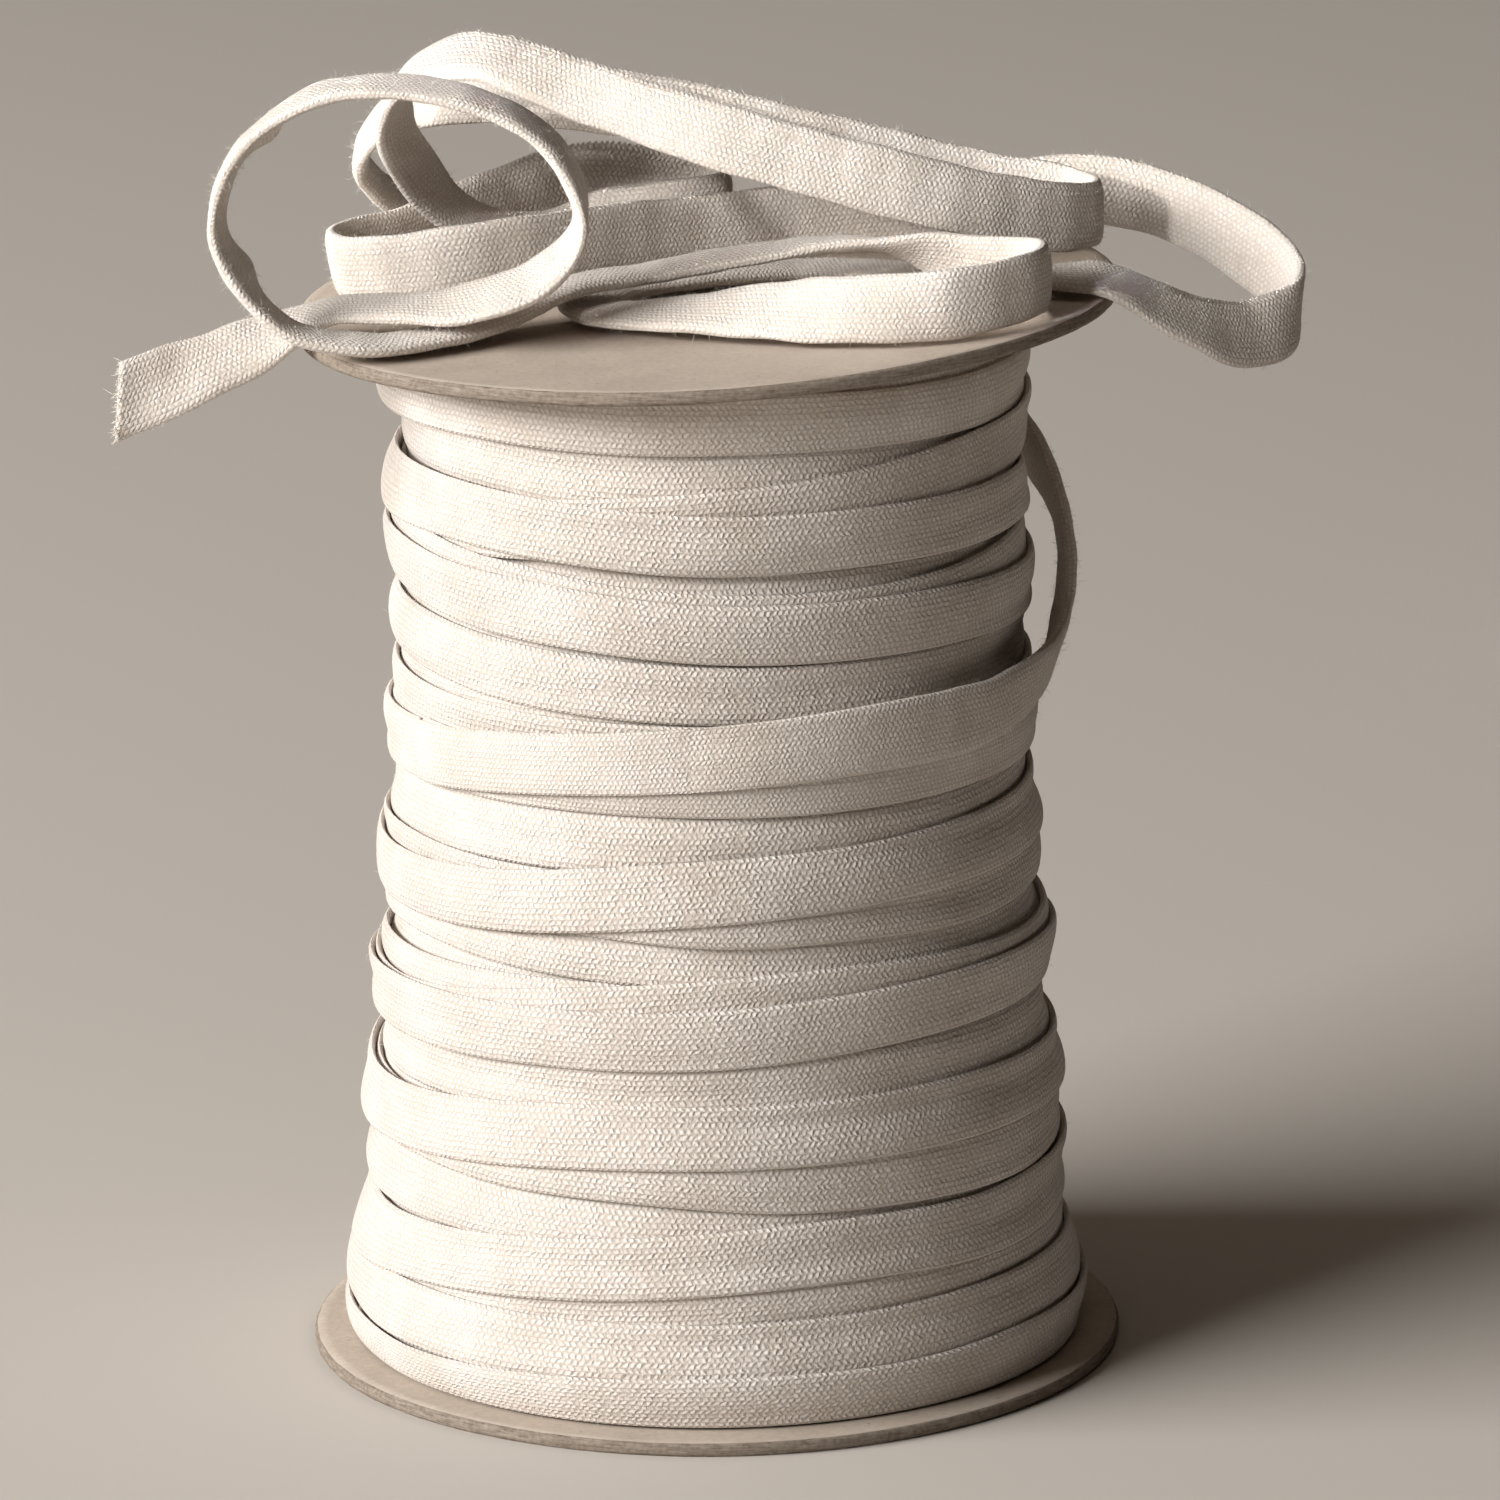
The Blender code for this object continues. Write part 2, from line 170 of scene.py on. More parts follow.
# Route of the loose cord's middle line in metres, with the direction across the cord's width
RoutePoint = namedtuple("RoutePoint", "x y z across_x across_y across_z")
LOOSE_ROUTE = tuple(RoutePoint(*row) for row in (
    # slack turn that lifts off the right of the winding
    (0.0216, -0.0325, 0.0819, 0.00, 0.00, 1.0),
    (0.0279, -0.0275, 0.0819, 0.00, 0.00, 1.0),
    (0.0333, -0.0213, 0.0822, 0.10, -0.05, 1.0),
    (0.0392, -0.0095, 0.0840, 0.30, -0.20, 1.0),
    (0.0412, -0.0020, 0.0878, 0.25, -0.60, 0.7),
    (0.0421, 0.0035, 0.0930, 0.10, -0.80, 0.6),
    (0.0412, 0.0095, 0.0990, 0.00, -0.70, 0.7),
    # up behind the spool and over the rear rim
    (0.0380, 0.0185, 0.1040, 0.00, -0.35, 0.9),
    (0.0310, 0.0320, 0.1080, 0.00, 0.00, 1.0),
    (0.0190, 0.0455, 0.1125, 0.00, 0.10, 1.0),
    (0.0030, 0.0535, 0.1183, 0.00, 0.30, 1.0),
    (-0.0120, 0.0530, 0.1250, 0.30, 0.70, 0.9),
    (-0.0245, 0.0440, 0.1296, 0.50, 1.00, 0.1),
    (-0.0360, 0.0335, 0.1308, 0.30, 1.00, 0.0),
    # long arch, rear leg
    (-0.0410, 0.0280, 0.1370, 0.00, 1.00, 0.1),
    (-0.0375, 0.0235, 0.1435, 0.00, 1.00, 0.4),
    (-0.0280, 0.0180, 0.1473, 0.00, 0.60, 1.0),
    (-0.0100, 0.0120, 0.1470, 0.00, 0.40, 1.0),
    (0.0100, 0.0095, 0.1430, 0.00, 0.40, 1.0),
    (0.0330, 0.0115, 0.1368, 0.00, 0.20, 1.0),
    # long arch, bend at the right
    (0.0426, 0.0106, 0.1351, 0.00, 0.10, 1.0),
    (0.0457, 0.0053, 0.1349, 0.00, 0.00, 1.0),
    (0.0418, -0.0010, 0.1355, 0.00, 0.10, 1.0),
    # long arch, front leg, which bows out to the front
    (0.0342, -0.0062, 0.1377, 0.00, 0.25, 1.0),
    (0.0240, -0.0100, 0.1409, 0.00, 0.35, 1.0),
    (0.0130, -0.0108, 0.1440, 0.00, 0.45, 1.0),
    (0.0010, -0.0096, 0.1474, 0.00, 0.60, 1.0),
    (-0.0120, -0.0052, 0.1510, 0.00, 0.80, 0.9),
    # fold at the top left and the way down inside the next loop
    (-0.0270, 0.0000, 0.1550, 0.00, 1.00, 0.6),
    (-0.0348, 0.0040, 0.1515, 0.20, 1.00, 0.3),
    (-0.0363, 0.0090, 0.1450, 0.50, 1.00, 0.1),
    (-0.0337, 0.0135, 0.1385, 0.60, 1.00, 0.1),
    (-0.0285, 0.0170, 0.1325, 0.40, 1.00, 0.2),
    (-0.0195, 0.0200, 0.1296, 0.00, 1.00, 0.5),
    (-0.0100, 0.0230, 0.1310, 0.00, 0.60, 1.0),
    # rear loop
    (-0.0030, 0.0243, 0.1314, 0.00, 0.10, 1.0),
    (0.0020, 0.0275, 0.1316, 0.00, 0.00, 1.0),
    (0.0015, 0.0325, 0.1320, 0.00, 0.00, 1.0),
    (-0.0045, 0.0345, 0.1330, 0.00, 0.00, 1.0),
    (-0.0150, 0.0328, 0.1342, 0.00, 0.00, 1.0),
    (-0.0260, 0.0275, 0.1319, 0.00, 0.00, 1.0),
    # bend at the left of the flange
    (-0.0360, 0.0190, 0.1295, 0.10, 0.00, 1.0),
    (-0.0420, 0.0125, 0.1293, -0.10, 0.00, 1.0),
    (-0.0433, 0.0070, 0.1292, -0.20, -0.05, 1.0),
    (-0.0412, 0.0028, 0.1293, -0.10, -0.05, 1.0),
    # long leg standing across the flange, first forward and then back
    (-0.0355, -0.0004, 0.1302, 0.00, 0.00, 1.0),
    (-0.0290, -0.0018, 0.1313, 0.00, 0.00, 1.0),
    (-0.0215, 0.0004, 0.1320, 0.00, 0.00, 1.0),
    (-0.0135, 0.0060, 0.1318, 0.00, 0.00, 1.0),
    (-0.0030, 0.0132, 0.1315, 0.00, 0.00, 1.0),
    (0.0100, 0.0180, 0.1317, 0.00, 0.00, 1.0),
    (0.0300, 0.0205, 0.1329, 0.00, 0.00, 1.0),
    # loop past the right rim
    (0.0450, 0.0205, 0.1346, 0.00, 0.10, 1.0),
    (0.0580, 0.0170, 0.1316, 0.20, 0.20, 1.0),
    (0.0675, 0.0105, 0.1258, 0.20, 0.20, 1.0),
    (0.0685, 0.0035, 0.1228, 0.10, 0.30, 1.0),
    (0.0620, -0.0040, 0.1220, 0.00, 0.70, 1.0),
    (0.0545, -0.0095, 0.1256, 0.00, 1.00, 0.7),
    (0.0460, -0.0110, 0.1302, 0.10, 1.00, 0.2),
    (0.0365, -0.0060, 0.1296, 0.30, 1.00, 0.0),
    # flat stretch and the turn at its left end
    (0.0220, 0.0010, 0.1289, 0.35, 1.00, 0.0),
    (0.0090, 0.0050, 0.1283, 0.20, 1.00, 0.0),
    (-0.0030, 0.0026, 0.1278, -0.20, 1.00, 0.0),
    (-0.0106, -0.0012, 0.1274, -0.80, 0.60, 0.0),
    (-0.0134, -0.0080, 0.1272, -1.00, 0.00, 0.0),
    (-0.0108, -0.0146, 0.1275, -0.80, -0.60, -0.1),
    (-0.0035, -0.0202, 0.1287, -0.50, -0.85, -0.3),
    # front right loop
    (0.0060, -0.0255, 0.1301, -0.25, -0.75, -0.6),
    (0.0165, -0.0310, 0.1313, -0.05, -0.40, -0.9),
    (0.0280, -0.0322, 0.1321, 0.00, 0.00, -1.0),
    (0.0372, -0.0252, 0.1328, 0.00, 0.00, -1.0),
    (0.0380, -0.0178, 0.1325, 0.00, 0.00, -1.0),
    (0.0312, -0.0127, 0.1323, 0.00, 0.30, -1.0),
    # sloping down edge-on to the left, over the turn
    (0.0185, -0.0082, 0.1342, 0.00, 1.00, -0.2),
    (0.0050, -0.0078, 0.1328, 0.00, 1.00, 0.0),
    (-0.0070, -0.0085, 0.1309, 0.00, 1.00, 0.0),
    (-0.0150, -0.0108, 0.1301, 0.00, 1.00, 0.0),
    (-0.0225, -0.0150, 0.1275, 0.00, 1.00, 0.0),
    # round ring standing at the left
    (-0.0300, -0.0205, 0.1265, 0.00, 1.00, 0.0),
    (-0.0390, -0.0242, 0.1263, 0.00, 1.00, 0.0),
    (-0.0485, -0.0238, 0.1285, 0.00, 1.00, 0.0),
    (-0.0558, -0.0195, 0.1380, 0.10, 1.00, 0.0),
    (-0.0532, -0.0180, 0.1475, 0.10, 1.00, 0.0),
    (-0.0430, -0.0180, 0.1545, 0.05, 1.00, 0.1),
    (-0.0290, -0.0180, 0.1540, 0.00, 1.00, 0.1),
    (-0.0180, -0.0185, 0.1485, 0.10, 1.00, 0.1),
    (-0.0143, -0.0205, 0.1400, 0.00, 1.00, 0.1),
    (-0.0188, -0.0228, 0.1338, -0.30, 1.00, 0.3),
    (-0.0262, -0.0225, 0.1309, -0.30, 1.00, 0.3),
    # over the ring's own foot and out over the left rim to the cut end
    (-0.0340, -0.0188, 0.1293, -0.05, 1.00, 0.1),
    (-0.0435, -0.0138, 0.1278, 0.00, 1.00, 0.1),
    (-0.0560, -0.0175, 0.1230, 0.10, 0.70, 0.9),
    (-0.0678, -0.0200, 0.1188, 0.20, 0.15, 1.0),
))


def place_camera():
    """Looks along +Y, turned by the yaw, down by the pitch and tipped by the roll."""
    ahead = Vector((sin(CAMERA_YAW) * cos(CAMERA_PITCH), cos(CAMERA_YAW) * cos(CAMERA_PITCH),
                    -sin(CAMERA_PITCH)))
    level = Vector((cos(CAMERA_YAW), -sin(CAMERA_YAW), 0.0))
    above = level.cross(ahead)
    right = level * cos(CAMERA_ROLL) + above * sin(CAMERA_ROLL)
    up = above * cos(CAMERA_ROLL) - level * sin(CAMERA_ROLL)
    lens = bpy.data.cameras.new("camera")
    lens.sensor_width = CAMERA_SENSOR_MM
    lens.lens = CAMERA_LENS_MM
    lens.clip_start = 0.05
    lens.clip_end = 20.0
    camera = bpy.data.objects.new("camera", lens)
    turn = Matrix((right, up, -ahead)).transposed()
    camera.matrix_world = Matrix.Translation(CAMERA_PLACE) @ turn.to_4x4()
    bpy.context.scene.collection.objects.link(camera)
    bpy.context.scene.camera = camera


# Materials. A pattern on Object coordinates has its scale as features per millimetre.

def linear(code):
    """A linear colour from an sRGB hex code."""
    parts = [int(code[i:i + 2], 16) / 255.0 for i in (1, 3, 5)]
    return tuple(c / 12.92 if c <= 0.04045 else ((c + 0.055) / 1.055) ** 2.4 for c in parts) + (1.0,)


def new_material(name):
    """An empty material and its shader."""
    material = bpy.data.materials.new(name)
    material.use_nodes = True
    return material, material.node_tree.nodes["Principled BSDF"]


def add_node(material, kind, inputs, output=0, **settings):
    """Adds a node with its settings, links its inputs or sets them, and returns one output."""
    tree = material.node_tree
    node = tree.nodes.new(kind)
    for name, value in settings.items():
        setattr(node, name, value)
    for key, item in inputs.items():
        if isinstance(item, bpy.types.NodeSocket):
            tree.links.new(item, node.inputs[key])
        else:
            node.inputs[key].default_value = item
    return node.outputs[output]


def finish_material(material, shader, tone, stops, normal=None, **levels):
    """Colours a shader from dark to light by a tone, and sets its relief and its plain levels."""
    colour = add_node(material, "ShaderNodeValToRGB", {"Fac": tone})
    for element, (place, code) in zip(colour.node.color_ramp.elements, stops):
        element.position = place
        element.color = linear(code)
    material.node_tree.links.new(colour, shader.inputs["Base Color"])
    if normal is not None:
        material.node_tree.links.new(normal, shader.inputs["Normal"])
    for name, value in levels.items():
        shader.inputs[name.replace("_", " ")].default_value = value


def braided_cotton(name, relief_depth):
    """Unbleached cotton in a flat tubular braid: soft, matt and nearly white, with rows of small
    rounded stitches, set half a stitch apart in neighbouring rows, and painted shade in the hollows between.
    Wound tight, the stitches stand out, and on the slack cord they lie flatter."""
    material, shader = new_material(name)
    add = partial(add_node, material)

    # Place in the braid, which wanders a little: whole numbers are rows across and stitches along
    uv = add("ShaderNodeUVMap", {}, uv_map="braid")
    drift = add("ShaderNodeTexNoise", {"Vector": uv, "Scale": 0.35, "Detail": 2.0}, "Color")
    offset = add("ShaderNodeVectorMath", {0: drift, 1: (0.5, 0.5, 0.5)}, operation="SUBTRACT")
    wander = add("ShaderNodeVectorMath", {0: offset, 1: (0.7, 1.2, 0.0)}, operation="MULTIPLY")
    moved = add("ShaderNodeVectorMath", {0: uv, 1: wander}, operation="ADD")
    rows = add("ShaderNodeSeparateXYZ", {0: moved})
    stitches = rows.node.outputs[1]
    within = add("ShaderNodeMath", {0: rows}, operation="FRACT")
    row = add("ShaderNodeMath", {0: rows}, operation="FLOOR")
    odd = add("ShaderNodeMath", {0: row, 1: 2.0}, operation="MODULO")

    # Stitches lean one way and the other in turn, half a stitch apart from row to row
    lean = add("ShaderNodeMath", {0: odd, 1: 0.7, 2: -0.35}, operation="MULTIPLY_ADD")
    off_middle = add("ShaderNodeMath", {0: within, 1: 0.5}, operation="SUBTRACT")
    slant = add("ShaderNodeMath", {0: lean, 1: off_middle}, operation="MULTIPLY")
    staggered = add("ShaderNodeMath", {0: odd, 1: 0.5, 2: stitches}, operation="MULTIPLY_ADD")
    phase = add("ShaderNodeMath", {0: staggered, 1: slant}, operation="ADD")
    wave = add("ShaderNodeMath", {0: phase, 1: pi}, operation="MULTIPLY")
    swell = add("ShaderNodeMath", {0: wave}, operation="SINE")
    along = add("ShaderNodeMath", {0: swell}, operation="ABSOLUTE")
    arch = add("ShaderNodeMath", {0: within, 1: pi}, operation="MULTIPLY")
    across = add("ShaderNodeMath", {0: arch}, operation="SINE")
    long_round = add("ShaderNodeMath", {0: along, 1: 1.1}, operation="POWER")
    broad_round = add("ShaderNodeMath", {0: across, 1: 0.7}, operation="POWER")
    stitch = add("ShaderNodeMath", {0: long_round, 1: broad_round}, operation="MULTIPLY")

    # Fibres of 0.3 mm, tufts of 1 mm that hide some stitches, and clouds of about 10 mm in the tone
    place = add("ShaderNodeTexCoord", {}, "Object")
    fibre = add("ShaderNodeTexNoise", {"Vector": place, "Scale": 3.2 / MM, "Detail": 3.0, "Roughness": 0.65})
    wool = add("ShaderNodeTexNoise", {"Vector": place, "Scale": 0.9 / MM, "Detail": 2.0, "Roughness": 0.5})
    cloud = add("ShaderNodeTexNoise", {"Vector": place, "Scale": 0.11 / MM, "Detail": 2.0})
    clearness = add("ShaderNodeMath", {0: wool, 1: 1.3, 2: -0.15}, operation="MULTIPLY_ADD")
    shown = add("ShaderNodeMath", {0: stitch, 1: clearness}, operation="MULTIPLY")
    stitch_part = add("ShaderNodeMath", {0: shown, 1: 0.75}, operation="MULTIPLY")
    fibre_part = add("ShaderNodeMath", {0: fibre, 1: 0.5}, operation="MULTIPLY")
    relief = add("ShaderNodeMath", {0: stitch_part, 1: fibre_part}, operation="ADD")
    normal = add("ShaderNodeBump", {"Height": relief, "Strength": 1.0, "Distance": relief_depth})
    cloud_part = add("ShaderNodeMath", {0: cloud, 1: 0.5, 2: -0.25}, operation="MULTIPLY_ADD")
    # The colour follows the relief as painted shade: darker in the hollows between stitches and in the low
    # spots of the fibres, lighter on the stitches' tops. The clouds add the cotton's own uneven tone.
    tone = add("ShaderNodeMath", {0: relief, 1: cloud_part}, operation="ADD")
    finish_material(material, shader, tone, ((0.1, "#c4b8ab"), (0.8, "#efe8e2")), normal,
                    Roughness=0.95, Specular_IOR_Level=0.15, Sheen_Weight=0.3, Sheen_Roughness=0.5)
    return material


def cotton_fluff():
    """Loose cotton fibres that stand off the braid: thin, pale and matt, uneven in tone."""
    material, shader = new_material("cotton_fluff")
    place = add_node(material, "ShaderNodeTexCoord", {}, "Object")
    cloud = add_node(material, "ShaderNodeTexNoise", {"Vector": place, "Scale": 0.3 / MM})
    finish_material(material, shader, cloud, ((0.3, "#ddd3c5"), (0.7, "#f1ece4")),
                    Roughness=0.85, Specular_IOR_Level=0.2)
    return material


def greyboard_face():
    """Uncoated greyboard of pressed waste paper: matt, mottled grey-beige with fine paper fibres
    under 1 mm, darker specks about 2 mm apart and clouds of about 15 mm."""
    material, shader = new_material("greyboard_face")
    add = partial(add_node, material)
    place = add("ShaderNodeTexCoord", {}, "Object")
    grain = add("ShaderNodeTexNoise", {"Vector": place, "Scale": 1.5 / MM, "Detail": 4.0, "Roughness": 0.7})
    cloud = add("ShaderNodeTexNoise", {"Vector": place, "Scale": 0.07 / MM, "Detail": 3.0, "Roughness": 0.6})
    distance = add("ShaderNodeTexVoronoi", {"Vector": place, "Scale": 0.42 / MM}, "Distance")
    in_speck = add("ShaderNodeMath", {0: distance, 1: 0.1}, operation="LESS_THAN")
    speck = add("ShaderNodeMath", {0: in_speck, 1: 0.25}, operation="MULTIPLY")
    grain_part = add("ShaderNodeMath", {0: grain, 1: 0.5}, operation="MULTIPLY")
    cloud_part = add("ShaderNodeMath", {0: cloud, 1: 0.5}, operation="MULTIPLY")
    relief = add("ShaderNodeMath", {0: grain_part, 1: cloud_part}, operation="ADD")
    tone = add("ShaderNodeMath", {0: relief, 1: speck}, operation="SUBTRACT")
    normal = add("ShaderNodeBump", {"Height": relief, "Strength": 0.5, "Distance": 0.08 * MM})
    finish_material(material, shader, tone, ((0.3, "#aa9d90"), (0.68, "#cabdaf")), normal,
                    Roughness=0.88, Specular_IOR_Level=0.3)
    return material


def greyboard_cut_edge():
    """The cut edge of greyboard: rough, darker than the face, with the layers of the sheet in it."""
    material, shader = new_material("greyboard_cut_edge")
    add = partial(add_node, material)
    place = add("ShaderNodeTexCoord", {}, "Object")
    flat = add("ShaderNodeMapping", {"Vector": place, "Scale": (0.6, 0.6, 8.0)})
    layers = add("ShaderNodeTexNoise", {"Vector": flat, "Scale": 0.62 / MM, "Detail": 4.0, "Roughness": 0.7})
    fray = add("ShaderNodeTexNoise", {"Vector": place, "Scale": 1.8 / MM, "Detail": 3.0})
    layer_part = add("ShaderNodeMath", {0: layers, 1: 0.65}, operation="MULTIPLY")
    fray_part = add("ShaderNodeMath", {0: fray, 1: 0.35}, operation="MULTIPLY")
    tone = add("ShaderNodeMath", {0: layer_part, 1: fray_part}, operation="ADD")
    normal = add("ShaderNodeBump", {"Height": tone, "Strength": 0.8, "Distance": 0.16 * MM})
    finish_material(material, shader, tone, ((0.34, "#6a5e52"), (0.68, "#a4988b")), normal,
                    Roughness=0.92, Specular_IOR_Level=0.25)
    return material


# Cord sections, flat in the middle and rounded towards the edges

EDGE_POWER = 3.8
EDGE_ROUND = 0.45


def ease(share):
    """A share from 0 to 1 that starts and ends softly."""
    share = np.clip(share, 0.0, 1.0)
    return share * share * (3.0 - 2.0 * share)


def half_thickness(share):
    """Share of the full half thickness at a place across the cord."""
    return np.maximum(0.0, 1.0 - np.abs(share) ** EDGE_POWER) ** EDGE_ROUND


def section_outline(over, under):
    """Places round a section as (share across, side), closer together towards the edges."""
    top = [(sin(pi / 2.0 * (2.0 * step / (over - 1) - 1.0)), 1.0) for step in range(over)]
    low = [(sin(pi / 2.0 * (1.0 - 2.0 * step / (under + 1))), -1.0) for step in range(1, under + 1)]
    return np.array(top + low)


WOUND_SECTION = section_outline(15, 5)
UNDER_SECTION = section_outline(9, 3)
LOOSE_SECTION = section_outline(15, 13)


def braid_places(outline, rows):
    """Where each place of a section lies among the rows of the braid, and the closing place."""
    flat = np.stack([outline[:, 0] * CORD_WIDTH / 2.0,
                     outline[:, 1] * half_thickness(outline[:, 0]) * CORD_THICKNESS / 2.0], axis=1)
    steps = np.linalg.norm(np.roll(flat, -1, axis=0) - flat, axis=1)
    return np.concatenate([[0.0], np.cumsum(steps)]) / steps.sum() * rows


def link_mesh(mesh, materials):
    """Puts a mesh in the scene as a smooth object at the origin."""
    for material in materials:
        mesh.materials.append(material)
    mesh.shade_smooth()
    piece = bpy.data.objects.new(mesh.name, mesh)
    bpy.context.scene.collection.objects.link(piece)
    return piece


def link_piece(name, bm, materials):
    """Turns a bmesh into a smooth object at the origin."""
    mesh = bpy.data.meshes.new(name)
    bm.to_mesh(mesh)
    bm.free()
    return link_mesh(mesh, materials)


def sweep(bm, rings, rows, stitches, closed):
    """Adds a tube through rings of points, with the braid's rows and stitches as its UV map."""
    count, around = rings.shape[:2]
    lines = count - 1 + int(closed)
    grid = bmesh.ops.create_grid(bm, x_segments=around, y_segments=lines, size=1.0)
    layer = bm.loops.layers.uv.get("braid") or bm.loops.layers.uv.new("braid")
    for vert in grid["verts"]:
        column = round((vert.co.x + 1.0) / 2.0 * around)
        line = round((vert.co.y + 1.0) / 2.0 * lines)
        vert.co = rings[line % count][column % around]
        for loop in vert.link_loops:
            loop[layer].uv = (rows[column], stitches[line])
    bmesh.ops.remove_doubles(bm, verts=grid["verts"], dist=1e-7)


# Winding, whose outside is a map of radii: columns round it and cells up it

COLUMNS = 160
CELL = 0.2 * MM
CELLS = 640
START_DEPTH = 4.0 * MM
MEAN_RADIUS = 39.0 * MM
TOP_RADIUS = 38.0 * MM

# How a turn lies: how sharply it bends across, how far what is under it may press into it, and how
# many columns its length smooths over
DRAPE_BEND = 120.0
SINK = 0.25 * MM
DRAPE_SPREAD = 2.2
DRAPE_REACH = 6
TURN_WAVER = 0.3 * MM
WIDTH_WAVER = 0.02

# How much of the turns' own height is left once they press on each other, and what counts as their
# own height
PRESSED = 0.68
SMOOTHED_HEIGHT = 4.5 * MM
SMOOTHED_COLUMNS = 7

# Slow ups and downs of the outside: waves round, radians a metre up and where each starts
SWELLING_SIZE = 0.13 * MM
SWELLINGS = ((1, 170.0, 0.4), (2, 290.0, 2.0), (3, 130.0, 4.1), (2, 480.0, 5.2))

Laid = namedtuple("Laid", "angles heights radii outline stitches")


def winding_radius(height):
    """Outer radius of the winding at a height."""
    heights = [girth.height for girth in WINDING_GIRTHS]
    radii = [girth.radius for girth in WINDING_GIRTHS]
    return np.interp(height, heights, radii)


def edge_waves(angle):
    """A level, two slopes and a sag, which together carry a turn round the winding."""
    angle = np.asarray(angle)
    return np.stack([np.ones_like(angle), np.cos(angle), np.sin(angle), np.cos(2.0 * angle)], axis=-1)


def turn_heights(turn, angles, chance):
    """Height of a turn's middle at each angle, with a slight waver."""
    sizes = np.linalg.solve(edge_waves(np.array(TURN_ANGLES)), np.array(turn) * MM)
    heights = edge_waves(angles) @ sizes
    for waves in range(3, 9):
        size = chance.normal(0.0, TURN_WAVER / waves)
        heights = heights + size * np.sin(waves * angles + chance.uniform(0.0, 2.0 * pi))
    return heights


def bell(spread, reach):
    """A row of weights for smoothing, which add up to one."""
    weights = np.exp(-0.5 * (np.arange(-reach, reach + 1) / spread) ** 2)
    return weights / weights.sum()


def columns_at(angles):
    """The column of the winding's map at each angle."""
    return np.round(angles / (2.0 * pi) * COLUMNS).astype(int) % COLUMNS


def look_up(field, angles, heights):
    """Values of a map of the winding at angles and heights."""
    columns = columns_at(angles)
    places = np.clip(heights / CELL, 0, CELLS - 1.001)
    low = places.astype(int)
    part = places - low
    if heights.ndim > 1:
        columns = columns[:, None]
    return field[columns, low] * (1.0 - part) + field[columns, low + 1] * part


def lay_turn(surface, angles, middles, widths, outline, before=None, closed=True):
    """Lays a stretch of cord on the winding and raises the winding's surface under the next one.
    Returns the sections' heights and radii, and what the stretch rests on."""
    shares = outline[outline[:, 1] > 0.0][:, 0]
    heights = middles[:, None] + shares[None, :] * widths[:, None] / 2.0
    support = look_up(surface, angles, heights)
    gaps = (heights[:, :, None] - heights[:, None, :]) ** 2 * DRAPE_BEND
    draped = np.max(support[:, None, :] - gaps, axis=2)
    if closed:
        padded = np.concatenate([draped[-DRAPE_REACH:], draped, draped[:DRAPE_REACH]])
    else:
        start = np.repeat(draped[:1], DRAPE_REACH, axis=0) if before is None else before[-DRAPE_REACH:]
        padded = np.concatenate([start, draped, np.repeat(draped[-1:], DRAPE_REACH, axis=0)])
    weights = bell(DRAPE_SPREAD, DRAPE_REACH)
    smooth = np.stack([np.convolve(padded[:, i], weights, "valid") for i in range(len(shares))], axis=1)
    rest = np.maximum(smooth, support - SINK)
    middle = rest + WOUND_THICKNESS / 2.0
    top = middle + half_thickness(shares)[None, :] * WOUND_THICKNESS / 2.0
    for i, column in enumerate(columns_at(angles)):
        first = max(int(np.ceil(heights[i, 0] / CELL)), 0)
        last = min(int(np.floor(heights[i, -1] / CELL)), CELLS - 1)
        cells = np.arange(first, last + 1)
        raised = np.interp(cells * CELL, heights[i], top[i])
        surface[column, cells] = np.maximum(surface[column, cells], raised)
    level = middles[:, None] + outline[None, :, 0] * widths[:, None] / 2.0
    depth = np.array([np.interp(outline[:, 0], shares, row) for row in middle])
    radii = depth + outline[None, :, 1] * half_thickness(outline[None, :, 0]) * WOUND_THICKNESS / 2.0
    return level, radii, rest


def upper_disc_underside(angles, radius):
    """Height of the upper disc's underside round the winding."""
    return (SPOOL_HEIGHT - BOARD_THICKNESS + radius * np.sin(angles) * tan(UPPER_DISC_SLOPE)
            - radius * np.cos(angles) * tan(UPPER_DISC_LEAN))


def squeeze_in(middles, widths, angles):
    """Keeps a turn between the two discs by narrowing it."""
    floor = BOARD_THICKNESS + SEATING_GAP
    ceiling = upper_disc_underside(angles, TOP_RADIUS) - SEATING_GAP
    low = np.maximum(middles - widths / 2.0, floor)
    high = np.minimum(middles + widths / 2.0, ceiling)
    return (low + high) / 2.0, high - low


def smoothed_surface(surface):
    """The winding's surface with the single turns smoothed away."""
    reach = int(3.0 * SMOOTHED_HEIGHT / CELL)
    weights = bell(SMOOTHED_HEIGHT / CELL, reach)
    rows = [np.convolve(np.pad(row, reach, mode="edge"), weights, "valid") for row in surface]
    field = np.array(rows)
    around = bell(SMOOTHED_COLUMNS, 3 * SMOOTHED_COLUMNS)
    wrapped = np.concatenate([field[-3 * SMOOTHED_COLUMNS:], field, field[:3 * SMOOTHED_COLUMNS]])
    return np.stack([np.convolve(wrapped[:, i], around, "valid") for i in range(CELLS)], axis=1)


def swellings(angles, heights):
    """Slow ups and downs of the winding's outside."""
    total = 0.0
    for waves, rate, start in SWELLINGS:
        total = total + SWELLING_SIZE * np.sin(waves * angles + rate * heights + start)
    return total


def press(smoothed, angles, heights, radii):
    """Radii after the turns are pressed onto each other, at the winding's real girth."""
    around = angles[:, None]
    level = winding_radius(heights) + swellings(around, heights)
    return level + (radii - look_up(smoothed, angles, heights)) * PRESSED


def to_points(angles, heights, radii):
    """Rings of points from angles round the axis, heights and radii."""
    around = np.broadcast_to(angles[:, None], radii.shape)
    return np.stack([radii * np.sin(around), -radii * np.cos(around), heights], axis=2)


